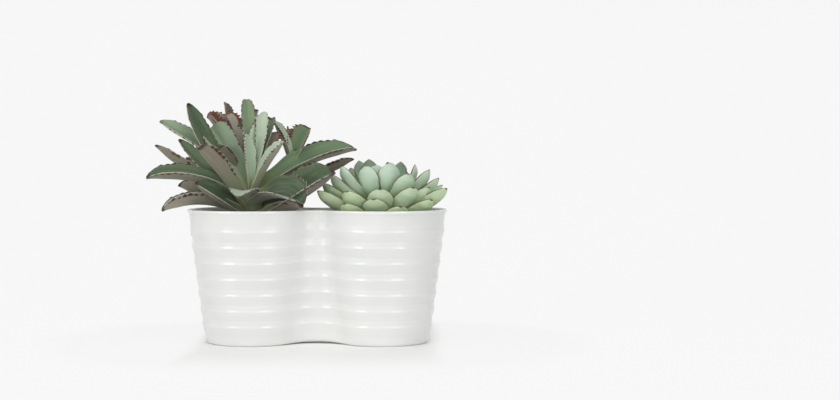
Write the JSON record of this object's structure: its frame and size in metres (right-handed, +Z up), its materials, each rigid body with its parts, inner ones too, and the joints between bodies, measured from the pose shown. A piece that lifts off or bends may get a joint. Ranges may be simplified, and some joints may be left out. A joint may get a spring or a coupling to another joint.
{
  "type": "planter pot",
  "caption": "Ribbed white sheet-metal planter with round lobes and a drawn-in waist, holding a felt-leaved succulent and a fleshy rosette in lift-out grower's pots.",
  "frame": {"origin": "middle of the bottom panel's underside, under the pot's waist", "axes": "+X along the pot from the felt-leaved plant to the rosette, +Y to the back, +Z up"},
  "size_m": [0.249, 0.1181, 0.203],
  "materials": {
    "white_enamel": "glossy white powder coat on thin steel sheet",
    "black_plastic": "thin moulded polypropylene, dull",
    "potting_soil": "loose dark potting compost",
    "felt_leaf": "grey-green felted leaf with brown margins",
    "bloom_leaf": "powdery blue-green fleshy leaf with a thin red-brown edge"
  },
  "bodies": {
    "planter": {"shell": "white_enamel", "base_pan": "white_enamel"},
    "kalanchoe_planting": {"nursery_pot_left": "black_plastic", "soil_left": "potting_soil", "kalanchoe_trunk": "felt_leaf", "kalanchoe": "felt_leaf"},
    "echeveria_planting": {"nursery_pot_right": "black_plastic", "soil_right": "potting_soil", "echeveria": "bloom_leaf"}
  },
  "joints": [
    {"name": "kalanchoe_lift", "type": "slide", "parent": "planter", "child": "kalanchoe_planting", "axis": [0, 0, 1], "range_m": [0, 0.12]},
    {"name": "echeveria_lift", "type": "slide", "parent": "planter", "child": "echeveria_planting", "axis": [0, 0, 1], "range_m": [0, 0.12]}
  ]
}
